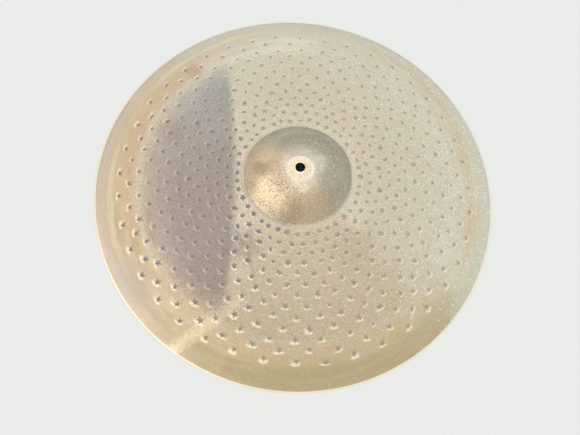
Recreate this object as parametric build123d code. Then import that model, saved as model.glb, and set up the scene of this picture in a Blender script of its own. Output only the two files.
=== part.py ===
"""Crash cymbal, 20 inch: one piece of sheet bronze, pressed, hammered and trimmed.

The cymbal lies bell up. The origin is the centre of the rim, level with what the cymbal rests on,
and +Z runs up the axis of the bell. Everything is in millimetres.

A cymbal is a body of revolution. From the axis outwards it has a hole, a flat crown where the felt
washers clamp, the dome of the bell, a tight bend at the bell's foot, the long shallow bow and the rim.
The sheet gets thinner from the crown to the rim.
"""

from build123d import *
from math import asin, cos, hypot, sin
import os

# Driving dimensions.
DIAMETER = 508.0  # rim to rim, 20 inches
BOW_RISE = 22.6  # from the rim up to the foot of the bell, on the upper side
BELL_DIAMETER = 134.0  # across the foot of the bell
BELL_RISE = 20.5  # from the foot of the bell up to the crown
CROWN_DIAMETER = 30.0  # the flat that the felt washers clamp
HOLE_DIAMETER = 12.0  # clears the sleeve on a stand's rod

# Thickness of the sheet at three places along the radius.
RIM_THICKNESS = 0.9
FOOT_THICKNESS = 1.2
CROWN_THICKNESS = 1.4

# The bend at the bell's foot, and the broken edges.
FOOT_BEND_RADIUS = 3.0  # on the upper side; the under side bends round the same centre
RIM_EDGE_RADIUS = 0.3
HOLE_EDGE_RADIUS = 0.2

BRONZE_DENSITY = 8.8e-6  # kilograms in a cubic millimetre of tin bronze


def bow_radius(foot, rim):
    """The radius of the arc from foot to rim whose centre is on the axis."""
    centre_height = (foot.Y**2 + foot.X**2 - rim.Y**2 - rim.X**2) / (2 * (foot.Y - rim.Y))
    return hypot(rim.X, rim.Y - centre_height)


def corner_under(foot, bell_slope, bow_slope):
    """The under side's corner at the bell's foot, where both walls are FOOT_THICKNESS thick."""
    half_turn = (bell_slope - bow_slope) / 2
    lean = bow_slope + half_turn
    return foot - Vector(sin(lean), cos(lean)) * (FOOT_THICKNESS / cos(half_turn))


def sheet_section():
    """The cymbal's section on one side of the axis, with distance from the axis as x and height as y."""
    hole = HOLE_DIAMETER / 2
    crown = CROWN_DIAMETER / 2
    rim = DIAMETER / 2
    foot_height = RIM_THICKNESS + BOW_RISE
    crown_height = foot_height + BELL_RISE
    level = (1, 0)

    rim_top = Vector(rim, RIM_THICKNESS)
    rim_under = Vector(rim, 0)
    foot_top = Vector(BELL_DIAMETER / 2, foot_height)
    crown_top = Vector(crown, crown_height)
    crown_under = Vector(crown, crown_height - CROWN_THICKNESS)

    bell_run = foot_top.X - crown
    bell_radius = (bell_run**2 + BELL_RISE**2) / (2 * BELL_RISE)
    bow_top_radius = bow_radius(foot_top, rim_top)
    foot_under = corner_under(foot_top, asin(bell_run / bell_radius), asin(foot_top.X / bow_top_radius))

    with BuildSketch(Plane.XZ) as section:
        with BuildLine():
            Line((hole, crown_under.Y), (hole, crown_height))
            Line((hole, crown_height), crown_top)
            TangentArc(crown_top, foot_top, tangent=level)
            RadiusArc(foot_top, rim_top, bow_top_radius)
            Line(rim_top, rim_under)
            RadiusArc(rim_under, foot_under, -bow_radius(foot_under, rim_under))
            TangentArc(crown_under, foot_under, tangent=level)
            Line(crown_under, (hole, crown_under.Y))
        make_face()
    return section.sketch


def rings(part, radius):
    """The circular edges of a part that lie that far from the axis, lowest first."""
    circles = part.edges().filter_by(GeomType.CIRCLE)
    return circles.filter_by(lambda edge: abs(edge.radius - radius) < 1e-6).sort_by(Axis.Z)


def foot_rings(part):
    """The two edges where the bell meets the bow: the one on the under side, then the one above it."""
    upper = rings(part, BELL_DIAMETER / 2)[0]
    below = part.edges().filter_by(GeomType.CIRCLE).filter_by(
        lambda edge: upper.radius - 2 * FOOT_THICKNESS < edge.radius < upper.radius - 1e-6
    )
    return below[0], upper


def make_cymbal():
    """The whole cymbal: the section turned about the axis, with its bend and edges rounded."""
    body = revolve(sheet_section(), Axis.Z).solid()
    under, upper = foot_rings(body)
    body = body.fillet(FOOT_BEND_RADIUS + FOOT_THICKNESS, [under])
    body = body.fillet(FOOT_BEND_RADIUS, [rings(body, BELL_DIAMETER / 2)[0]])
    body = body.fillet(RIM_EDGE_RADIUS, rings(body, DIAMETER / 2))
    body = body.fillet(HOLE_EDGE_RADIUS, rings(body, HOLE_DIAMETER / 2))
    return body.moved(Location((0, 0, -body.bounding_box().min.Z)))


def main():
    os.makedirs("parts", exist_ok=True)
    cymbal = make_cymbal()
    cymbal.label = "cymbal"
    export_step(cymbal, "parts/cymbal.step")
    size = cymbal.bounding_box().size
    print(f"cymbal {size.X:.1f} x {size.Y:.1f} x {size.Z:.2f} mm, {cymbal.volume * BRONZE_DENSITY:.2f} kg")


main()
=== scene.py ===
# %% [markdown]
# # A crash cymbal in hammered bronze
# A cymbal is one piece of sheet bronze. The sheet is pressed into a shallow bow with a raised bell,
# struck with a peen all over the bow, skimmed on a lathe, and trimmed at the rim.
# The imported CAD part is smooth. It stays as the solid, and this script makes the sheet that shows,
# with every hammer mark as real geometry and a finish that has been played and left to tarnish.

from math import asin, atan2, cos, floor, hypot, pi, radians, sin, sqrt, tan
from random import Random

import bmesh
import bpy
from mathutils import Matrix, Vector, noise
from mathutils.kdtree import KDTree


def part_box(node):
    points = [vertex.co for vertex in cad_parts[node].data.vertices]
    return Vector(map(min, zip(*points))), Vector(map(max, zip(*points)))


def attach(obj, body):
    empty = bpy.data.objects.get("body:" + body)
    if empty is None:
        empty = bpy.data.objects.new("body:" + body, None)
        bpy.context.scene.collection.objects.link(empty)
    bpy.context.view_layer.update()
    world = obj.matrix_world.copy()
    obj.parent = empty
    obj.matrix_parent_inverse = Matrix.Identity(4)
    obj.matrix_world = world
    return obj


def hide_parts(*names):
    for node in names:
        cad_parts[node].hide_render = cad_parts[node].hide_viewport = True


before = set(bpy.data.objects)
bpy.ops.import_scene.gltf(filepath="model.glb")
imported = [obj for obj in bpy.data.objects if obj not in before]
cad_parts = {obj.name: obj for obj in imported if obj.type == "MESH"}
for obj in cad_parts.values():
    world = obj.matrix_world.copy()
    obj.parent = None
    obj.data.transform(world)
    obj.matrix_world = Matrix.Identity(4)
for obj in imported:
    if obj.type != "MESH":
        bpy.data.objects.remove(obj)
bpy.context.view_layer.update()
MM = 0.001
low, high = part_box("cymbal")
print("CAD box, mm:", [round(v / MM, 2) for v in (*low, *high)])

# %% [markdown]
# ## The camera
# It stands over the near edge, looks steeply down, and is rolled a little, as a hand-held one is.
# The lens is a wide one held close, so the near half of the rim looks larger than the far half.
# A look-at rotation points the camera, and the roll is a turn about its own line of sight.

# %% Place the camera
CAMERA_AT = Vector((0.0, -0.2261, 0.5185))
CAMERA_AIM = Vector((-0.0009, -0.0501, 0.0))
CAMERA_ROLL = radians(10.5)
LENS = 27.06

camera = bpy.data.objects.new("camera", bpy.data.cameras.new("camera"))
bpy.context.scene.collection.objects.link(camera)
camera.data.lens = LENS
camera.data.clip_start = 0.01
look_at = (CAMERA_AIM - CAMERA_AT).to_track_quat("-Z", "Y").to_matrix().to_4x4()
camera.matrix_world = Matrix.Translation(CAMERA_AT) @ look_at @ Matrix.Rotation(CAMERA_ROLL, 4, "Z")
bpy.context.scene.camera = camera
print("camera height, mm:", round(CAMERA_AT.z / MM))

# %% [markdown]
# ## The section
# Everything round follows one section: the crown is flat, the bell is an arc that starts level, and
# the bow is a long arc whose centre is on the axis. The underside has an arc for each of them too,
# a little closer in, so the sheet thins from the crown to the rim. All heights hang from the top of
# the CAD box, so the sheet lies exactly on the solid. The rim takes the least of the box's four reaches,
# because the solid's own circle is drawn with flats a few hundredths of a millimetre deep.

# %% Describe the section
RIM = min(high.x, high.y, -low.x, -low.y)
CROWN_TOP = high.z
HOLE = 6.0 * MM
CROWN = 15.0 * MM
BELL = 67.0 * MM
BELL_RISE = 20.5 * MM
BOW_RISE = 22.6 * MM
CROWN_THICKNESS, FOOT_THICKNESS, RIM_THICKNESS = 1.4 * MM, 1.2 * MM, 0.9 * MM


def arc(axis, near, far):
    """The arc through two (radius, height) points whose centre is at radius axis: height(), radius."""
    run = (far[0] - axis) ** 2 - (near[0] - axis) ** 2
    centre = (far[1] ** 2 - near[1] ** 2 + run) / (2 * (far[1] - near[1]))
    size = hypot(near[0] - axis, near[1] - centre)
    return lambda radius: centre + sqrt(size**2 - (radius - axis) ** 2), size


foot = Vector((BELL, CROWN_TOP - BELL_RISE))
rim = Vector((RIM, foot.y - BOW_RISE))
bell_top, bell_arc = arc(CROWN, (CROWN, CROWN_TOP), foot)
bow_top, bow_arc = arc(0, foot, rim)

bell_slope, bow_slope = asin((BELL - CROWN) / bell_arc), asin(BELL / bow_arc)
half_turn = (bell_slope - bow_slope) / 2
lean = bow_slope + half_turn
foot_under = foot - Vector((sin(lean), cos(lean))) * FOOT_THICKNESS / cos(half_turn)
bell_under, _ = arc(CROWN, (CROWN, CROWN_TOP - CROWN_THICKNESS), foot_under)
bow_under, _ = arc(0, foot_under, (RIM, rim.y - RIM_THICKNESS))
print("arcs, mm: bell", round(bell_arc / MM, 1), "bow", round(bow_arc / MM, 1))

# %% [markdown]
# ## The bell and the rim
# Both are plain turned shapes, so each is a wire drawn in the section plane and spun round the axis.
# The corners of the wire are sharp at first, and a vertex bevel rounds each by its own amount, as
# a former's radius or an edge tool would. The wires stop where the hammered field begins and ends.

# %% Start a shell, and spin a wire
MARK_RINGS = 13
MARKS_ROUND = 40
RING_PITCH = 12.12 * MM
FIRST_RING = 76.8 * MM
FIELD_START = FIRST_RING - RING_PITCH / 2
FIELD_END = FIRST_RING + (MARK_RINGS - 0.5) * RING_PITCH
ARC_STEPS = 4
ROUND_STEPS = MARKS_ROUND * ARC_STEPS


def new_bmesh():
    """An empty bmesh. Its vertices carry a ray number, a share of a mark's depth, dirt, rubbing and painted
    highlight, and side.
    """
    bm = bmesh.new()
    bm.verts.layers.int.new("ray")
    for name in ("drop", "recess", "burnish_and_highlight", "under"):
        bm.verts.layers.float.new(name)
    return bm


def spin_wire(bm, points, corners):
    """Joins (radius, height) points, rounds the corners given as index: (offset, segments), and spins."""
    verts = [bm.verts.new((radius, 0, height)) for radius, height in points]
    for pair in zip(verts, verts[1:]):
        bm.edges.new(pair)
    ring = set(verts)
    for index, (offset, segments) in corners.items():
        made = bmesh.ops.bevel(
            bm, geom=[verts[index]], offset=offset, offset_type="OFFSET", segments=segments,
            profile=0.5, affect="VERTICES", material=-1,
        )
        ring.update(made["verts"])
    ring = {vert for vert in ring if vert.is_valid}
    edges = {edge for vert in ring for edge in vert.link_edges}
    bmesh.ops.spin(
        bm, geom=list(ring) + list(edges), axis=(0, 0, 1), cent=(0, 0, 0), angle=2 * pi,
        steps=ROUND_STEPS, use_merge=True,
    )


def spread(start, end, steps):
    return [start + (end - start) * step / steps for step in range(steps + 1)]


print("field, mm:", round(FIELD_START / MM, 1), "to", round(FIELD_END / MM, 1))

# %% Spin the bell and the rim
BELL_STEPS, RIM_STEPS = 22, 5
FOOT_BEND, HOLE_EDGE, RIM_EDGE = 3.0 * MM, 0.2 * MM, 0.3 * MM

sheet = new_bmesh()
upper_side = [(radius, bell_top(radius)) for radius in spread(CROWN, BELL, BELL_STEPS)]
under_side = [(radius, bell_under(radius)) for radius in spread(CROWN, foot_under.x, BELL_STEPS)]
wire = [(FIELD_START, bow_top(FIELD_START))] + upper_side[::-1]
wire += [(HOLE, CROWN_TOP), (HOLE, CROWN_TOP - CROWN_THICKNESS)]
wire += under_side + [(FIELD_START, bow_under(FIELD_START))]
hole_corner = len(upper_side) + 1
spin_wire(sheet, wire, {
    1: (FOOT_BEND * tan(half_turn), 6),
    hole_corner: (HOLE_EDGE, 2),
    hole_corner + 1: (HOLE_EDGE, 2),
    len(wire) - 2: ((FOOT_BEND + FOOT_THICKNESS) * tan(half_turn), 6),
})

rim_radii = spread(FIELD_END, RIM, RIM_STEPS)
wire = [(radius, bow_top(radius)) for radius in rim_radii]
wire += [(radius, bow_under(radius)) for radius in rim_radii[::-1]]
spin_wire(sheet, wire, {RIM_STEPS: (RIM_EDGE, 3), RIM_STEPS + 1: (RIM_EDGE, 3)})
print("turned faces:", len(sheet.faces))

# %% [markdown]
# ## One hammer mark
# The peen leaves a five-pointed recess with a soft lip, in a shallow dish. A mark starts as a ten-sided
# disc, the floor of the star, and grows outwards: each loop of edges is extruded and its ten points are
# put where the next outline needs them. The last loop is the mark's own share of the bow, a piece of
# a ring that fits its neighbours edge to edge, so no hole has to be cut for the mark.

# %% Draw the outlines of a mark
RAYS = 10
TIP, VALLEY = 4.05 * MM, 2.40 * MM
LONGER, THINNER = 0.35, 0.30
TILE = 2 * pi / MARKS_ROUND
# for each ray, quarters of a tile to the side, and outwards (1) or inwards (-1)
BORDER = [(0, 1), (1, 1), (2, 1), (2, -1), (1, -1), (0, -1), (-1, -1), (-2, -1), (-2, 1), (-1, 1)]


def star_outline(growth):
    """Ten radii, tips and valleys in turn. With growth the two inward arms lengthen and all get thinner."""
    longer, valley = 1 + LONGER * growth, VALLEY * (1 - THINNER * growth)
    reach = [1, 1, longer, longer, 1]
    return [TIP * reach[ray // 2] if ray % 2 == 0 else valley for ray in range(RAYS)]


def outline(centre, turn, radii):
    """Points about a centre, the first in the direction of turn and the rest clockwise."""
    turns = [turn - 2 * pi * ray / RAYS for ray in range(RAYS)]
    return [centre + reach * Vector((cos(angle), sin(angle), 0)) for angle, reach in zip(turns, radii)]


def tile_border(radius, heading):
    """The ten border points of a mark's share of the bow, in order of ray."""
    points = []
    for side, outward in BORDER:
        angle = heading - side * TILE / ARC_STEPS
        reach = radius + outward * RING_PITCH / 2
        points.append(Vector((reach * cos(angle), reach * sin(angle), 0)))
    return points


print("a star's radii, mm:", [round(radius / MM, 2) for radius in star_outline(1.0)])

# %% Grow one mark
FADE_AT, FADE_TO = 0.4, 0.15


def strike(bm, centre, turn, loops, border):
    """Makes one mark flat in the plan. loops are (radii, depths, dirt, rubbing and painted highlight), floor
    first.
    """
    ray = bm.verts.layers.int["ray"]
    drop, recess, burnish_and_highlight = [bm.verts.layers.float[name] for name in ("drop", "recess", "burnish_and_highlight")]
    plain = [0.0] * RAYS
    rings = [(outline(centre, turn, radii), depths, dirt, rubbed_and_lit) for radii, depths, dirt, rubbed_and_lit in loops]
    half_way = [near.lerp(far, FADE_AT) for near, far in zip(rings[-1][0], border)]
    faint = [FADE_TO * rub_and_lit for rub_and_lit in rings[-1][3]]
    rings += [(half_way, plain, 0.0, faint), (border, plain, 0.0, plain)]
    points, depths, dirt, rubbed_and_lit = rings.pop(0)
    disc = bmesh.ops.create_circle(bm, segments=RAYS, radius=1.0, cap_ends=True, cap_tris=True)["verts"]
    edges = list({edge for vert in disc for edge in vert.link_edges if edge.is_boundary})
    for vert in disc:
        vert[ray] = floor(-atan2(vert.co.y, vert.co.x) * RAYS / (2 * pi)) % RAYS
        vert.co = points[vert[ray]] if vert.co.length > 0.5 else centre
        vert[drop], vert[recess], vert[burnish_and_highlight] = depths[0], dirt, rubbed_and_lit[0]
    for points, depths, dirt, rubbed_and_lit in rings:
        made = bmesh.ops.extrude_edge_only(bm, edges=edges)["geom"]
        edges = [item for item in made if isinstance(item, bmesh.types.BMEdge)]
        for vert in [item for item in made if isinstance(item, bmesh.types.BMVert)]:
            vert.co = points[vert[ray]]
            vert[drop], vert[recess], vert[burnish_and_highlight] = depths[vert[ray]], dirt, rubbed_and_lit[vert[ray]]


print("shine left where a mark fades:", FADE_TO)

# %% [markdown]
# ## The hammered field
# Thirteen rings of forty marks, each ring turned half a step from the last, as the work was turned
# under the hammer. No two blows are alike, so each mark is moved, turned and sized a little by
# a seeded random draw, and one side was struck a little harder. The same blow makes a star above and
# a knob below. The peen leans outwards, so it throws up a lip on the outer side, which sticks rub bright.
# The lip's pale colour is partly that rubbed metal and partly a painted highlight.
# Each ring is struck in a bmesh of its own, because an operator takes longer the more a bmesh holds.

# %% Set the blows
SEED = 20
SCATTER, TURN_SCATTER = 0.35 * MM, radians(8)
SIZES, FORCES = (0.84, 0.99), (0.65, 0.93)
HARD_SIDE, HARDER = radians(235), 0.07
LEAN_INNER, LEAN_OUTER = 0.45, 1.00
LEAN_ROUND, LEAN_HARD = 0.75, 0.30
FLOOR_SHARE = 0.72
LIP_GAP = 0.5 * MM
LIP_HEIGHT = 0.15
LIP_WRAP = 0.30
FLOOR_DIRT, EDGE_DIRT = 1.0, 0.5
KNOB_RUBBING = 0.5
KNOB, KNOB_FOOT = [2.2 * MM] * RAYS, [4.6 * MM] * RAYS
LEVEL = [0.0] * RAYS
OUTWARD = [max(0.0, LIP_WRAP + cos(2 * pi * ray / RAYS)) / (1 + LIP_WRAP) for ray in range(RAYS)]
print("how far each ray has a lip:", [round(outward, 2) for outward in OUTWARD])


def pour(bm, target):
    """Adds a bmesh to another one, and frees it."""
    part = bpy.data.meshes.new("part")
    bm.to_mesh(part)
    bm.free()
    target.from_mesh(part)
    bpy.data.meshes.remove(part)


# %% Strike the field
blows = Random(SEED)
struck = []
upper, lower = new_bmesh(), new_bmesh()
for ring in range(MARK_RINGS):
    growth = ring / (MARK_RINGS - 1)
    radius = FIRST_RING + ring * RING_PITCH
    above, below = new_bmesh(), new_bmesh()
    for mark in range(MARKS_ROUND):
        heading = (mark + 0.5 * (ring % 2)) * TILE
        reach = radius + blows.gauss(0, SCATTER)
        angle = heading + blows.gauss(0, SCATTER) / radius
        centre = Vector((reach * cos(angle), reach * sin(angle), 0))
        turn = angle + blows.gauss(0, TURN_SCATTER)
        hard = cos(angle - HARD_SIDE)
        size = blows.uniform(*SIZES) + HARDER * hard
        force = blows.uniform(*FORCES) + HARDER * hard
        lean_out = LEAN_INNER + (LEAN_OUTER - LEAN_INNER) * growth
        lean_out *= force * (LEAN_ROUND + LEAN_HARD * hard)
        star = [size * reach for reach in star_outline(growth)]
        base = [FLOOR_SHARE * reach for reach in star]
        lip = [max(TIP * size + LIP_GAP, reach + LIP_GAP / 2) for reach in star]
        heave = [-LIP_HEIGHT * lean_out * outward for outward in OUTWARD]
        # the lip's pale colour: rubbed metal and a painted highlight
        rubbed_and_lit = [lean_out * outward for outward in OUTWARD]
        flat_floor, half_rubbed = [force] * RAYS, [KNOB_RUBBING * force] * RAYS
        pressed = [(base, flat_floor, FLOOR_DIRT, LEVEL), (star, LEVEL, EDGE_DIRT, rubbed_and_lit)]
        pressed += [(lip, heave, 0.0, rubbed_and_lit)]
        raised = [(KNOB, flat_floor, 0.0, half_rubbed), (KNOB_FOOT, LEVEL, 0.0, LEVEL)]
        border = tile_border(radius, heading)
        strike(above, centre, turn, pressed, border)
        strike(below, centre, turn, raised, border)
        struck.append((centre, force, growth))
    pour(above, upper)
    pour(below, lower)
for bm in (upper, lower):
    bmesh.ops.remove_doubles(bm, verts=bm.verts, dist=0.01 * MM)
print("marks:", len(struck), "field faces:", len(upper.faces), "and", len(lower.faces))

# %% [markdown]
# ## Lift the field onto the bow
# So far the marks lie flat. Now each vertex goes up to the bow's height above its own radius, down by
# the depth of its star, and down again by the dishes of the blows around it. A tree of the centres
# finds those blows. Two slow noises leave the sheet as uneven as a hammered one is: one takes the rings of
# marks off their true circles, and one is a faint wave in the height. The seed is set, because Blender
# would else draw a new one from the clock each time.

# %% Lift and dent
STAR_DEPTH = 0.35 * MM
DISH_RADIUS = 8.0 * MM
DISH_DEPTH = 0.025 * MM
DISH_INNER, DISH_OUTER = 0.6, 1.4
WAVE_LENGTH = 55 * MM
WAVE_HEIGHT = 0.03 * MM
FADE = 4.0 * MM
DRIFT = 3.6 * MM
DRIFT_LENGTH = 17 * MM
noise.seed_set(SEED)


def fade(radius):
    """1 over the field, and 0 where it meets the bell's foot and the plain rim."""
    return max(0.0, min(1.0, (radius - FIELD_START) / FADE, (FIELD_END - radius) / FADE))


def drift(plan):
    """How far off its place a point of the plan was struck."""
    away = noise.noise_vector(plan / DRIFT_LENGTH)
    return DRIFT * fade(plan.length) * Vector((away.x, away.y, 0))


blow_tree = KDTree(len(struck))
for index, (centre, _, _) in enumerate(struck):
    blow_tree.insert(centre + drift(centre), index)
blow_tree.balance()


def dish(plan):
    """How far the blows near a point of the plan have pressed the sheet down there."""
    drop = 0.0
    for _, index, distance in blow_tree.find_range(plan, DISH_RADIUS):
        _, force, growth = struck[index]
        bowl = 0.5 + 0.5 * cos(pi * distance / DISH_RADIUS)
        drop += force * (DISH_INNER + (DISH_OUTER - DISH_INNER) * growth) * bowl
    return DISH_DEPTH * drop


for bm, height in ((upper, bow_top), (lower, bow_under)):
    drop = bm.verts.layers.float["drop"]
    for vert in bm.verts:
        vert.co += drift(vert.co)
        radius = vert.co.length
        wave = WAVE_HEIGHT * noise.noise(vert.co / WAVE_LENGTH)
        vert.co.z = height(radius) - vert[drop] * STAR_DEPTH + fade(radius) * (wave - dish(vert.co))
print("field height, mm:", round(max(v.co.z for v in upper.verts) / MM, 2))

# %% [markdown]
# ## One sheet
# The four parts join where their edge vertices meet, which closes the shell, and then its faces are
# turned to point outwards. Shading is smooth, except at the lip of each star, which is a crisp edge.
# Each vertex that faces down is noted, because the two sides of a cymbal don't wear alike.

# %% Join the sheet
FACES_DOWN = -0.5

pour(upper, sheet)
pour(lower, sheet)
bmesh.ops.remove_doubles(sheet, verts=sheet.verts, dist=0.02 * MM)
bmesh.ops.recalc_face_normals(sheet, faces=sheet.faces)
open_edges = sum(not edge.is_manifold for edge in sheet.edges)
for face in sheet.faces:
    face.smooth = True
under = sheet.verts.layers.float["under"]
for vert in sheet.verts:
    vert[under] = 1.0 if vert.normal.z < FACES_DOWN else 0.0
    vert.co.z = max(vert.co.z, low.z)
recess = sheet.verts.layers.float["recess"]
for edge in sheet.edges:
    edge.smooth = not all(vert[recess] == EDGE_DIRT for vert in edge.verts)
print("open edges:", open_edges)

# %% Make the object
mesh = bpy.data.meshes.new("hammered_cymbal")
sheet.to_mesh(mesh)
sheet.free()
cymbal = bpy.data.objects.new("hammered_cymbal", mesh)
bpy.context.scene.collection.objects.link(cymbal)
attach(cymbal, "root")
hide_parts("cymbal")
print("triangles:", sum(len(face.vertices) - 2 for face in mesh.polygons))

# %% [markdown]
# ## Nodes and colours
# Colours are written as the eye sees them and turned to linear light by one function. One other
# function adds a node, sets its properties, feeds its inputs with values or with other nodes'
# outputs, and gives back the output that the next node needs. Inputs that share a name go by number:
# a Map Range reads from 1 to 2 and gives from 3 to 4, and a colour Mix blends 6 into 7.

# %% Make the helpers


def linear(code):
    parts = [int(code[i : i + 2], 16) / 255 for i in (1, 3, 5)]
    return [p / 12.92 if p <= 0.04045 else ((p + 0.055) / 1.055) ** 2.4 for p in parts] + [1.0]


def add(tree, kind, inputs, output=0, **settings):
    node = tree.nodes.new(kind)
    for name, value in settings.items():
        setattr(node, name, value)
    for name, value in inputs.items():
        if isinstance(value, bpy.types.NodeSocket):
            tree.links.new(value, node.inputs[name])
        else:
            node.inputs[name].default_value = value
    return None if output is None else node.outputs[output]


print("middle grey in linear light:", round(linear("#808080")[0], 3))

# %% [markdown]
# ## Bronze: where a finish lies
# Tin bronze with about one part tin in five is a pale gold when it is clean. This cymbal has
# been played for years: the bow is still a soft mirror, the band inside the rim has gone brown, the bell
# was never lathed and is grey with oxide, and the felts have rubbed a bright disc round the hole.
# Each of these lies at its own distance from the axis, so the first nodes measure that distance.
# Noises of several sizes break the edges up, because no edge of a tarnish is a drawn circle.

# %% Measure the plan, and make the noises
bronze = bpy.data.materials.new("tin_bronze_hammered_and_tarnished")
bronze.use_nodes = True
tree = bronze.node_tree
tree.nodes.clear()
place = add(tree, "ShaderNodeTexCoord", {}, "Object")
plan = add(tree, "ShaderNodeVectorMath", {0: place, 1: (1, 1, 0)}, operation="MULTIPLY")
distance = add(tree, "ShaderNodeVectorMath", {0: plan}, "Value", operation="LENGTH")
direction = add(tree, "ShaderNodeVectorMath", {0: plan}, operation="NORMALIZE")

# size in millimetres, and detail
NOISES = {"slow": (35, 4.0), "cloud": (12, 4.0), "mottle": (3.2, 5.0), "grain": (1.3, 2.0)}
noises = {}
for name, (size, detail) in NOISES.items():
    settings = {"Vector": place, "Scale": 1 / (size * MM), "Detail": detail, "Roughness": 0.62}
    noises[name] = add(tree, "ShaderNodeTexNoise", settings)

WANDER = 12 * MM
shift = {0: noises["slow"], 1: WANDER, 2: -WANDER / 2}
shift = add(tree, "ShaderNodeMath", shift, operation="MULTIPLY_ADD")
shifted = add(tree, "ShaderNodeMath", {0: distance, 1: shift}, operation="ADD")
share = add(tree, "ShaderNodeMath", {0: shifted, 1: RIM}, operation="DIVIDE")
exact = add(tree, "ShaderNodeMath", {0: distance, 1: RIM}, operation="DIVIDE")
print("noises:", ", ".join(NOISES))

# %% [markdown]
# ## Bronze: colours from the crown to the rim
# Three colour ramps run along the radius: the pale, grey-green side, the warm side that more hands
# have rubbed, and the golden edge nearest the player. On the bell, from 0.13 to 0.255 of the radius,
# the pale side's stops are darker and the warm side's lighter: partly the bell's grey oxide, partly
# painted shade on its far and right flank and painted light on its lower left. A fourth is for the
# underside, which nobody polishes and no stick touches, so it stays an even tan. The last ramp, of greys,
# is the roughness: the lathed bow is the smoothest, and the unlathed bell and the brown band scatter more
# light.

# %% Lay the ramps
RAMPS = {
    # bell stops (0.13 to 0.255): darker on the pale side as painted shade, lighter on the warm side as
    # painted light, over the oxide
    "pale": [(0.08, "#CCC4B2"), (0.13, "#A49D8C"), (0.20, "#A4A08E"), (0.255, "#ADAA99"), (0.270, "#D4CAB6"),
             (0.31, "#D0C4AC"), (0.45, "#CBC0AA"), (0.76, "#CEC7B2"), (0.80, "#D2CBB8"), (0.90, "#D0C9B4"),
             (0.99, "#C5C4B3")],
    "warm": [(0.08, "#ECE3CC"), (0.13, "#D3C6A9"), (0.20, "#CDBA99"), (0.255, "#CAB492"), (0.270, "#DDCFB8"),
             (0.31, "#D3C6B0"), (0.60, "#D8CDBA"), (0.70, "#E7DCC5"), (0.785, "#E6D6B7"), (0.84, "#DCC6A2"),
             (0.92, "#D2C0A0"), (0.99, "#C5B193")],
    "near": [(0.08, "#E6D8BE"), (0.13, "#C6B292"), (0.20, "#B4A07C"), (0.255, "#B2A084"), (0.270, "#D0C2AC"),
             (0.31, "#C9B79C"), (0.45, "#C5B59A"), (0.76, "#BEAC8E"), (0.80, "#C3B394"), (0.86, "#C1AD86"),
             (0.92, "#B09F76"), (0.99, "#B0A17C")],
    "under": [(0.06, "#D8C49C"), (0.09, "#A8977A"), (0.20, "#9A8B70"), (0.255, "#A3947A"), (0.275, "#C4B491"),
              (0.55, "#CDBD98"), (0.80, "#C6B48C"), (0.90, "#BFA67C"), (0.99, "#C4B594")],
    "gloss": [(0.06, 0.34), (0.09, 0.40), (0.275, 0.38), (0.290, 0.06), (0.60, 0.05), (0.76, 0.16),
              (0.80, 0.34), (0.90, 0.36), (0.99, 0.30)],
}
ramps = {}
for name, stops in RAMPS.items():
    ramps[name] = add(tree, "ShaderNodeValToRGB", {"Fac": share})
    points = ramps[name].node.color_ramp.elements
    while len(points) < len(stops):
        points.new(0.5)
    for point, (position, value) in zip(points, stops):
        point.position = position
        point.color = linear(value) if isinstance(value, str) else (value, value, value, 1.0)
print("ramps:", ", ".join(RAMPS))

# %% [markdown]
# ## Bronze: sides
# A dot product of the direction from the axis with a compass direction is 1 that way and falls to 0
# a quarter turn from it, so it makes a soft mask for one side of the cymbal. Slow noise keeps its
# border uneven.

# %% Blend the ramps round the cymbal
def facing(azimuth):
    """1 where the direction from the axis is azimuth degrees, and 0 a quarter turn away."""
    compass = (cos(radians(azimuth)), sin(radians(azimuth)), 0)
    return add(tree, "ShaderNodeVectorMath", {0: direction, 1: compass}, "Value", operation="DOT_PRODUCT")


# azimuth, and the cosines where the side starts and is full
SIDES = {"warm": (203, 0.20, 0.85), "near": (286, 0.55, 0.95)}
UNEVEN = 0.5
colour = ramps["pale"]
sides = {}
for name, (azimuth, start, full) in SIDES.items():
    uneven = {0: noises["slow"], 1: UNEVEN, 2: facing(azimuth)}
    uneven = add(tree, "ShaderNodeMath", uneven, operation="MULTIPLY_ADD")
    limits = {0: uneven, 1: start + UNEVEN / 2, 2: full + UNEVEN / 2}
    sides[name] = add(tree, "ShaderNodeMapRange", limits, interpolation_type="SMOOTHSTEP")
    mixed = {"Factor": sides[name], 6: colour, 7: ramps[name]}
    colour = add(tree, "ShaderNodeMix", mixed, 2, data_type="RGBA")
print("sides:", ", ".join(SIDES))

# %% [markdown]
# ## Bronze: tarnish in bands
# Bronze goes orange, then brown, where sweat and damp stay on it, and a turned sheet takes it in arcs
# along the lathe's lines. A noise that is read from the direction and a stretched radius makes such arcs.
# The pale bands are where polish was last left on, at the rim and over the back of the bell.

# %% Stretch a noise into arcs
ALONG, ACROSS = 2.5, 26.0
stretched = add(tree, "ShaderNodeVectorMath", {0: direction, 1: (ALONG, ALONG, 0)}, operation="MULTIPLY")
lifted = add(tree, "ShaderNodeCombineXYZ", {2: exact})
lifted = add(tree, "ShaderNodeVectorMath", {0: lifted, 1: (0, 0, ACROSS)}, operation="MULTIPLY")
turned = add(tree, "ShaderNodeVectorMath", {0: stretched, 1: lifted}, operation="ADD")
arcs = add(tree, "ShaderNodeTexNoise", {"Vector": turned, "Scale": 1.0, "Detail": 4.0, "Roughness": 0.6})
print("arcs are longer than wide:", round(ACROSS / ALONG, 1), "times")

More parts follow.
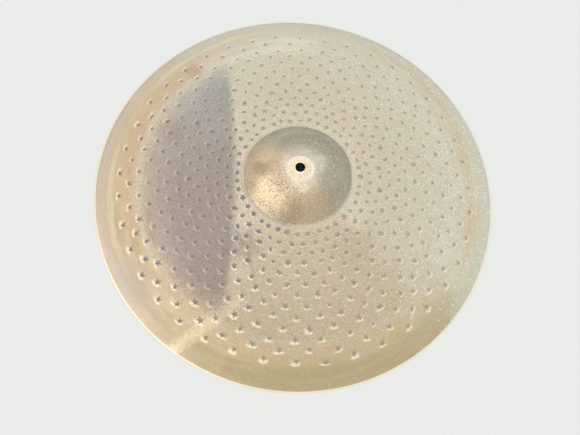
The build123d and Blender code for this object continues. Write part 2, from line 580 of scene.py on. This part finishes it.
# %% Tarnish the bands
# azimuth, cosines where the band starts and is full, middle and half width in shares of the radius,
# colour, strength
BANDS = [
    (178, 0.50, 0.85, 0.850, 0.060, "#DAB888", 0.75),
    (28, 0.62, 0.92, 0.895, 0.060, "#C2A47A", 0.65),
    (292, 0.70, 0.95, 0.845, 0.045, "#BFAE8E", 0.40),
    (256, 0.93, 0.99, 0.890, 0.090, "#D2BE90", 0.50),
    (316, 0.88, 0.98, 0.910, 0.090, "#BDB698", 0.50),
    (227, 0.86, 0.98, 0.915, 0.110, "#B4A28A", 0.75),
    (233, 0.80, 0.97, 0.790, 0.080, "#CEB484", 0.62),
    (128, 0.97, 0.995, 0.860, 0.045, "#B8947E", 0.40),
    (118, 0.86, 0.97, 0.820, 0.090, "#F2EADA", 0.60),
    (135, 0.30, 0.75, 0.225, 0.050, "#CCC0AC", 0.75),
    (150, 0.40, 0.85, 0.262, 0.020, "#D4CAB6", 0.60),
    (98, 0.30, 0.80, 0.235, 0.045, "#C4BCAA", 0.80),
    (176, 0.30, 0.80, 0.968, 0.030, "#D8CAC0", 0.65),
    (166, 0.40, 0.85, 0.925, 0.022, "#F0E0B8", 0.70),
]
FULL_CORE = 0.3
BARE, COVERED = 0.36, 0.62
for azimuth, start, full, middle, half_width, code, strength in BANDS:
    limits = {0: facing(azimuth), 1: start, 2: full}
    along = add(tree, "ShaderNodeMapRange", limits, interpolation_type="SMOOTHSTEP")
    offset = add(tree, "ShaderNodeMath", {0: share, 1: middle}, operation="SUBTRACT")
    offset = add(tree, "ShaderNodeMath", {0: offset}, operation="ABSOLUTE")
    limits = {0: offset, 1: half_width, 2: FULL_CORE * half_width}
    across = add(tree, "ShaderNodeMapRange", limits, interpolation_type="SMOOTHSTEP")
    patchy = add(tree, "ShaderNodeMapRange", {0: arcs, 1: BARE, 2: COVERED, 4: strength})
    mask = add(tree, "ShaderNodeMath", {0: along, 1: across}, operation="MULTIPLY")
    mask = add(tree, "ShaderNodeMath", {0: mask, 1: patchy}, operation="MULTIPLY")
    colour = add(tree, "ShaderNodeMix", {"Factor": mask, 6: colour, 7: linear(code)}, 2, data_type="RGBA")
print("bands:", len(BANDS))

# %% [markdown]
# ## Bronze: stains
# Drops and fingers leave single stains. On the bell some are painted light and shade: the bright gold on
# its lower left is partly a painted highlight, and a grey patch on its right is painted shade. Each is
# a place on the plan in millimetres, a size, a colour and a strength, and the cloud noise frays its border.

# %% Lay the stains, and the painted light and shade on the bell
STAINS_AND_PAINTED_LIGHT = [
    ((-37, -1), 33, "#E0C49E", 0.62),
    # the next three: gold tarnish and a painted highlight on the bell's lower left, which faces the soft box
    ((-26, -28), 34, "#F8D8AC", 0.75),
    ((-32, -25), 16, "#FFE8C0", 0.50),
    ((-12, -44), 16, "#FFDFB2", 0.45),
    ((-47, -8), 16, "#866A4C", 0.56),
    ((-2, -53), 21, "#937858", 0.56),
    ((22, -40), 18, "#B49C84", 0.45),
    ((-54, -30), 14, "#A08C68", 0.40),
    # painted shade: a darker grey crescent on the bell's right flank
    ((46, -28), 26, "#8E8672", 0.40),
    ((4, -23), 15, "#F6E6CC", 0.70),
    ((22, 12), 16, "#D6CFC2", 0.65),
    ((-172, 32), 26, "#C4A28A", 0.35),
    ((-168, 130), 18, "#B48A76", 0.45),
    ((-105, -150), 40, "#BCAA9E", 0.35),
    ((-165, -165), 42, "#BCAA9C", 0.50),
    ((80, -85), 40, "#ADA28C", 0.35),
    ((72, -38), 26, "#DED6C4", 0.45),
    ((-47, -102), 29, "#978D7A", 0.60),
]
FRAY, BORDER_AT, FULL_AT = 0.9, 1.45, 0.7
for (x, y), size, code, strength in STAINS_AND_PAINTED_LIGHT:
    size *= MM
    spot = (x * MM, y * MM, 0)
    away = add(tree, "ShaderNodeVectorMath", {0: plan, 1: spot}, "Value", operation="DISTANCE")
    frayed = {0: noises["cloud"], 1: FRAY * size, 2: away}
    frayed = add(tree, "ShaderNodeMath", frayed, operation="MULTIPLY_ADD")
    limits = {0: frayed, 1: BORDER_AT * size, 2: FULL_AT * size, 4: strength}
    mask = add(tree, "ShaderNodeMapRange", limits, interpolation_type="SMOOTHSTEP")
    colour = add(tree, "ShaderNodeMix", {"Factor": mask, 6: colour, 7: linear(code)}, 2, data_type="RGBA")
print("stains:", len(STAINS_AND_PAINTED_LIGHT))

# %% [markdown]
# ## Bronze: streaks
# A scratch and a painted highlight, the bright radial ray that a lathed bow throws, are long and narrow.
# The nearest point of a line from one end to the other is found by a dot product held between its ends,
# and the distance to it makes the mask.

# %% Draw the streaks
# the two ends and the width in millimetres, colour, strength
SCRATCHES_AND_PAINTED_RAY = [
    # painted highlight: the bright radial ray on the lower left
    ((-104, -232), (-43, -168), 12, "#F6E4B8", 0.52),
    ((-60, -86), (-41, -110), 3.0, "#857A66", 0.55),
    ((-41, -110), (-30, -132), 2.4, "#857A66", 0.45),
]
WOBBLE, BORDER_AT, FULL_AT = 1.6, 1.8, 0.8
for start, end, width, code, strength in SCRATCHES_AND_PAINTED_RAY:
    width *= MM
    start, end = Vector((*start, 0)) * MM, Vector((*end, 0)) * MM
    run = end - start
    from_start = add(tree, "ShaderNodeVectorMath", {0: plan, 1: start}, operation="SUBTRACT")
    travel = {0: from_start, 1: run.normalized()}
    travel = add(tree, "ShaderNodeVectorMath", travel, "Value", operation="DOT_PRODUCT")
    travel = add(tree, "ShaderNodeMapRange", {0: travel, 1: 0.0, 2: run.length})
    nearest = add(tree, "ShaderNodeVectorMath", {0: run, "Scale": travel}, operation="SCALE")
    away = add(tree, "ShaderNodeVectorMath", {0: from_start, 1: nearest}, "Value", operation="DISTANCE")
    wobbly = {0: noises["mottle"], 1: WOBBLE * width, 2: away}
    wobbly = add(tree, "ShaderNodeMath", wobbly, operation="MULTIPLY_ADD")
    limits = {0: wobbly, 1: BORDER_AT * width, 2: FULL_AT * width, 4: strength}
    mask = add(tree, "ShaderNodeMapRange", limits, interpolation_type="SMOOTHSTEP")
    colour = add(tree, "ShaderNodeMix", {"Factor": mask, 6: colour, 7: linear(code)}, 2, data_type="RGBA")
print("streaks:", len(SCRATCHES_AND_PAINTED_RAY))

# %% [markdown]
# ## Bronze: the disc under the felts
# Felt washers keep the crown clean, so it is the brightest gold on the cymbal, with a pinkish ring
# where their rim has rubbed. They sat a little towards the player, and so does the disc.

# %% Rub the crown
FELT_CENTRE = (0.5 * MM, -2.0 * MM, 0)
FELT_RAGGED, FELT_SOFT = 2.0 * MM, 1.8 * MM
from_felt = add(tree, "ShaderNodeVectorMath", {0: plan, 1: FELT_CENTRE}, "Value", operation="DISTANCE")
from_felt = {0: noises["mottle"], 1: FELT_RAGGED, 2: from_felt}
from_felt = add(tree, "ShaderNodeMath", from_felt, operation="MULTIPLY_ADD")
# radius in millimetres, colour, strength
RUBBED_DISCS = [(17.2, "#FFF0E2", 0.95), (14.2, "#FFE9C2", 0.95), (7.2, "#FFFAF0", 0.90)]
for radius, code, strength in RUBBED_DISCS:
    limits = {0: from_felt, 1: radius * MM + FELT_SOFT, 2: radius * MM, 4: strength}
    mask = add(tree, "ShaderNodeMapRange", limits)
    colour = add(tree, "ShaderNodeMix", {"Factor": mask, 6: colour, 7: linear(code)}, 2, data_type="RGBA")
print("bronze nodes after the crown:", len(tree.nodes))

# %% [markdown]
# ## Bronze: mottling and specks
# Seen close, the tarnish is a fine grain of darker and paler metal. Real grains are a few tenths of a
# millimetre, too fine to show, so these are drawn about 1 to 3 mm across. Pale specks of dried
# polish lie thickest on the far right, and dark pits lie on the worn side of the bell.
# Hands hold a cymbal by its rim, so the mottling is fainter there.

# %% Choose where the specks and the pits lie
on_bell = add(tree, "ShaderNodeMapRange", {0: exact, 1: 0.275, 2: 0.255})
speck_zone = add(tree, "ShaderNodeMapRange", {0: facing(28), 1: 0.30, 2: 0.95})
speck_ring = add(tree, "ShaderNodeMapRange", {0: share, 1: 0.40, 2: 0.95, 3: 0.15})
for factor in (speck_ring, noises["cloud"]):
    speck_zone = add(tree, "ShaderNodeMath", {0: speck_zone, 1: factor}, operation="MULTIPLY")

PITTED = (-24 * MM, -34 * MM, 0)
pit_zone = add(tree, "ShaderNodeVectorMath", {0: plan, 1: PITTED}, "Value", operation="DISTANCE")
pit_zone = add(tree, "ShaderNodeMapRange", {0: pit_zone, 1: 42 * MM, 2: 12 * MM, 4: 0.75})
off_disc = add(tree, "ShaderNodeMapRange", {0: from_felt, 1: 18 * MM, 2: 22 * MM})
clumped = add(tree, "ShaderNodeMapRange", {0: noises["cloud"], 1: 0.40, 2: 0.62, 3: 0.25})
for factor in (on_bell, off_disc, clumped):
    pit_zone = add(tree, "ShaderNodeMath", {0: pit_zone, 1: factor}, operation="MULTIPLY")
print("bronze nodes after the zones:", len(tree.nodes))

# %% Scatter the specks and the pits
# the zone, the pitch of the cells, and the shares of it where a dot ends and where it is full
DOTS = {"speck": (speck_zone, 3.1 * MM, 0.38, 0.18), "pit": (pit_zone, 1.6 * MM, 0.46, 0.22)}
CROOKED = 2 * MM
crooked = {0: noises["grain"].node.outputs["Color"], 1: (CROOKED, CROOKED, 0), 2: plan}
crooked = add(tree, "ShaderNodeVectorMath", crooked, operation="MULTIPLY_ADD")
dots = {}
for name, (zone, pitch, border, core) in DOTS.items():
    cell = add(tree, "ShaderNodeTexVoronoi", {"Vector": crooked, "Scale": 1 / pitch}, "Distance")
    chance = add(tree, "ShaderNodeSeparateColor", {0: cell.node.outputs["Color"]})
    likely = add(tree, "ShaderNodeMath", {0: chance, 1: zone}, operation="LESS_THAN")
    dot = add(tree, "ShaderNodeMapRange", {0: cell, 1: border, 2: core})
    dots[name] = add(tree, "ShaderNodeMath", {0: dot, 1: likely}, operation="MULTIPLY")
print("dots:", ", ".join(DOTS))

# %% Mottle the metal
# the noise, its values where the spots start and are full, and their strength
MOTTLING = {
    "blotch": ("mottle", 0.52, 0.72, 0.45), "fleck": ("mottle", 0.45, 0.28, 0.40),
    "grit": ("grain", 0.53, 0.70, 0.60), "glint": ("grain", 0.45, 0.28, 0.55),
}
CALM_FROM, CALM_BEYOND, CALM = 0.78, 0.88, 0.35
spots = {}
for name, (source, start, full, strength) in MOTTLING.items():
    limits = {0: share, 1: CALM_FROM, 2: CALM_BEYOND, 3: strength, 4: CALM * strength}
    calmed = add(tree, "ShaderNodeMapRange", limits)
    spots[name] = add(tree, "ShaderNodeMapRange", {0: noises[source], 1: start, 2: full, 4: calmed})
turning = add(tree, "ShaderNodeMapRange", {0: arcs, 1: 0.50, 2: 0.66, 4: 0.25})
print("spots:", ", ".join(spots))

# %% [markdown]
# ## Bronze: what the mesh knows
# The hammered mesh carries three attributes. The recess of each star holds dark oxide that no cloth
# reaches, and it is thickest on the warm side. The outer lip is painted pale, partly metal rubbed bright
# and partly a painted highlight that is strongest on the warm side; the knob below it is metal rubbed
# bright. The third tells the underside from the top. Fingers and sticks also keep the very edge of the
# rim clean, and the pale line painted there is partly a painted highlight of the edge. A dark line round
# the bell's foot is painted shade in that crease. These go on last, over every stain.

# %% Read the mesh
recess = add(tree, "ShaderNodeAttribute", {}, "Fac", attribute_name="recess")
burnish_and_highlight = add(tree, "ShaderNodeAttribute", {}, "Fac", attribute_name="burnish_and_highlight")
under = add(tree, "ShaderNodeAttribute", {}, "Fac", attribute_name="under")

filled = add(tree, "ShaderNodeMath", {0: noises["cloud"], 1: 0.60, 2: 0.20}, operation="MULTIPLY_ADD")
filled = add(tree, "ShaderNodeMath", {0: sides["warm"], 1: 0.30, 2: filled}, operation="MULTIPLY_ADD")
limits = {0: recess, 1: 0.34, 2: 0.70, 4: filled}
grime = add(tree, "ShaderNodeMapRange", limits, interpolation_type="SMOOTHSTEP")

# painted highlight and rubbing on the outer lip of each star, stronger on the warm side
highlight_and_rub_strength = add(tree, "ShaderNodeMath", {0: sides["warm"], 1: 0.26, 2: 0.62}, operation="MULTIPLY_ADD")
limits = {0: burnish_and_highlight, 1: 0.11, 2: 0.60, 4: highlight_and_rub_strength}
lip_highlight_and_rub = add(tree, "ShaderNodeMapRange", limits, interpolation_type="SMOOTHSTEP")

# the colours of the oxide and of the lip, rubbed and painted with a highlight, on the pale side and on the
# warm side
IN_MARKS = {"oxide": ("#68746E", "#666B74"), "polish_and_highlight": ("#FBEFD8", "#FFE9C2")}
for name, (pale, warm) in IN_MARKS.items():
    mixed = {"Factor": sides["warm"], 6: linear(pale), 7: linear(warm)}
    IN_MARKS[name] = add(tree, "ShaderNodeMix", mixed, 2, data_type="RGBA")
print("attributes read:", ", ".join(node.attribute_name for node in tree.nodes if node.type == "ATTRIBUTE"))

# %% Paint a shadow line at the bell's foot, and a clean edge with a painted highlight at the rim
# painted shade: a thin dark line in the crease at the bell's foot, on the warm side only
off_foot = add(tree, "ShaderNodeMath", {0: exact, 1: BELL / RIM}, operation="SUBTRACT")
off_foot = add(tree, "ShaderNodeMath", {0: off_foot}, operation="ABSOLUTE")
foot_shadow_line = add(tree, "ShaderNodeMapRange", {0: off_foot, 1: 0.0045, 2: 0.0015, 4: 0.5})
foot_shadow_line = add(tree, "ShaderNodeMath", {0: foot_shadow_line, 1: sides["warm"]}, operation="MULTIPLY")
# the very edge of the rim, painted pale: clean worn metal and a painted highlight along the edge
edge = add(tree, "ShaderNodeMapRange", {0: exact, 1: 0.9935, 2: 0.9965, 4: 0.85})
print("the bell's foot is at", round(BELL / RIM, 3), "of the radius")

# %% Lay the last layers
LAYERS = [
    (turning, "#BFB197"), (spots["blotch"], "#A29880"), (spots["fleck"], "#EADCCA"),
    (dots["pit"], "#4E4230"), (dots["speck"], "#DAECE4"), (foot_shadow_line, "#7E7662"), (under, ramps["under"]),
    (spots["grit"], "#8A9084"), (spots["glint"], "#F6E8D8"), (lip_highlight_and_rub, IN_MARKS["polish_and_highlight"]),
    (grime, IN_MARKS["oxide"]), (edge, "#FFEFCB"),
]
for mask, coat in LAYERS:
    mixed = {"Factor": mask, 6: colour, 7: linear(coat) if isinstance(coat, str) else coat}
    colour = add(tree, "ShaderNodeMix", mixed, 2, data_type="RGBA")
print("layers:", len(LAYERS))

# %% [markdown]
# ## Bronze: thin films
# Oxide films of uneven thickness tint the metal a trace pinker here and a trace greener there, at each
# size of noise. A film colours what lies below it, so its tint is multiplied in.

# %% Tint the metal
# the noise whose green channel is read, its value where the tint is full, and the tint
TINTS = [
    ("cloud", 0.66, "#FFFAFD"), ("cloud", 0.34, "#FCFEFA"), ("mottle", 0.68, "#FFF7FC"),
    ("mottle", 0.32, "#F9FDF7"), ("grain", 0.66, "#FFF7FD"), ("grain", 0.34, "#F9FDF8"),
]
for source, full, tint in TINTS:
    film = add(tree, "ShaderNodeSeparateColor", {0: noises[source].node.outputs["Color"]}, 1)
    film = add(tree, "ShaderNodeMapRange", {0: film, 1: 0.50, 2: full})
    mixed = {"Factor": film, 6: colour, 7: linear(tint)}
    colour = add(tree, "ShaderNodeMix", mixed, 2, data_type="RGBA", blend_type="MULTIPLY")
print("tints:", len(TINTS))

# %% [markdown]
# ## Bronze: the lathe's lines and the shader
# The tool leaves fine rings. Real ones are a few tenths of a millimetre apart, too fine to show here,
# so these are drawn 1.6 mm apart, shallow and uneven. The bell has a cast skin instead, which is
# a fine pebbling. Both only tilt the light. Oxide is not a metal, so dirt also lowers the metallic value.

# %% Cut the lines and make the shader
LINE_PITCH = 1.6 * MM
lines = add(tree, "ShaderNodeTexWave", {
    "Vector": place, "Scale": pi / (10 * LINE_PITCH), "Distortion": 1.5, "Detail": 2.0, "Detail Scale": 0.2,
}, "Fac", wave_type="RINGS", rings_direction="Z")
skin = add(tree, "ShaderNodeMix", {"Factor": on_bell, 2: lines, 3: noises["grain"]}, 0, data_type="FLOAT")
deep = add(tree, "ShaderNodeMapRange", {0: on_bell, 3: 0.2, 4: 1.0})
bump = add(tree, "ShaderNodeBump", {"Height": skin, "Distance": 0.02 * MM, "Strength": deep})
rough = add(tree, "ShaderNodeMath", {0: noises["cloud"], 1: 0.04, 2: -0.02}, operation="MULTIPLY_ADD")
rough = add(tree, "ShaderNodeMath", {0: rough, 1: ramps["gloss"]}, operation="ADD")
rough = add(tree, "ShaderNodeMath", {0: grime, 1: 0.35, 2: rough}, operation="MULTIPLY_ADD")
metal = add(tree, "ShaderNodeMath", {0: grime, 1: -0.9, 2: 1.0}, operation="MULTIPLY_ADD")
shine = {"Base Color": colour, "Metallic": metal, "Roughness": rough, "Normal": bump}
surface = add(tree, "ShaderNodeBsdfPrincipled", shine)
add(tree, "ShaderNodeOutputMaterial", {"Surface": surface}, None)
mesh.materials.append(bronze)
print("bronze nodes:", len(tree.nodes))

# %% [markdown]
# ## The studio
# Metal shows what stands round it, so the sky of the studio matters more than the strength of any lamp.
# It is a soft white dome, a little darker at the horizon. A large grey-violet card stands on the left.
# The smooth bow mirrors it as one dark field with a crisp edge, and the satin band next to the rim
# scatters it away. The card is the part of the sky that lies within two circles, each found by a dot
# product, and its far end is bluer. A wide soft box shines over the player's left shoulder.

# %% Light the studio
world = bpy.data.worlds.new("studio")
bpy.context.scene.world = world
world.use_nodes = True
sky = world.node_tree
sky.nodes.clear()
toward = add(sky, "ShaderNodeTexCoord", {}, "Generated")
height = add(sky, "ShaderNodeSeparateXYZ", {0: toward}, 2)
climb = add(sky, "ShaderNodeMapRange", {0: height, 1: -0.05, 2: 0.55}, interpolation_type="SMOOTHSTEP")
dome = {"Factor": climb, 6: linear("#D0D2D0"), 7: linear("#F8FAFA")}
dome = add(sky, "ShaderNodeMix", dome, 2, data_type="RGBA")
print("sky nodes after the dome:", len(sky.nodes))

# %% Stand the card
# the middle of each circle as a direction, and the cosine at its edge
CIRCLES = [((-0.983, -0.082, 0.166), 0.362), ((0, 0.365, 0.931), 0.813)]
CRISP = 0.004
card = 1.0
for middle, border in CIRCLES:
    side = add(sky, "ShaderNodeVectorMath", {0: toward, 1: middle}, "Value", operation="DOT_PRODUCT")
    limits = {0: side, 1: border - CRISP, 2: border + CRISP}
    within = add(sky, "ShaderNodeMapRange", limits, interpolation_type="SMOOTHSTEP")
    card = add(sky, "ShaderNodeMath", {0: card, 1: within}, operation="MULTIPLY")
away = add(sky, "ShaderNodeSeparateXYZ", {0: toward}, 1)
far_end = add(sky, "ShaderNodeMapRange", {0: away, 1: 0.25, 2: 0.70})
card_colour = {"Factor": far_end, 6: linear("#C3BCC4"), 7: linear("#C6CCDA")}
card_colour = add(sky, "ShaderNodeMix", card_colour, 2, data_type="RGBA")
light = add(sky, "ShaderNodeMix", {"Factor": card, 6: dome, 7: card_colour}, 2, data_type="RGBA")
print("sky nodes after the card:", len(sky.nodes))

# %% Hang the soft box
BOX_MIDDLE = (-0.645, -0.504, 0.574)
BOX_BORDER, BOX_CORE = 0.78, 0.95
DOME_STRENGTH, BOX_STRENGTH = 1.18, 1.78
side = add(sky, "ShaderNodeVectorMath", {0: toward, 1: BOX_MIDDLE}, "Value", operation="DOT_PRODUCT")
limits = {0: side, 1: BOX_BORDER, 2: BOX_CORE, 3: DOME_STRENGTH, 4: BOX_STRENGTH}
strength = add(sky, "ShaderNodeMapRange", limits, interpolation_type="SMOOTHSTEP")
glow = add(sky, "ShaderNodeBackground", {"Color": light, "Strength": strength})
add(sky, "ShaderNodeOutputWorld", {"Surface": glow}, None)
bpy.context.scene.view_settings.view_transform = "Standard"
print("sky nodes:", len(sky.nodes))

# %% [markdown]
# ## The floor
# A plain painted floor, pale and dull, so that the cymbal's outline and its shadow stay clear.

# %% Lay the floor
floor_bm = bmesh.new()
bmesh.ops.create_grid(floor_bm, x_segments=1, y_segments=1, size=3.0)
floor_mesh = bpy.data.meshes.new("floor")
floor_bm.to_mesh(floor_mesh)
floor_bm.free()
ground = bpy.data.objects.new("floor", floor_mesh)
bpy.context.scene.collection.objects.link(ground)
paint = bpy.data.materials.new("pale_matt_floor_paint")
paint.use_nodes = True
paint.node_tree.nodes.clear()
coat = add(paint.node_tree, "ShaderNodeBsdfPrincipled", {"Base Color": linear("#DEDEDC"), "Roughness": 0.9})
add(paint.node_tree, "ShaderNodeOutputMaterial", {"Surface": coat}, None)
floor_mesh.materials.append(paint)
print("floor, m:", round(ground.dimensions.x, 1))
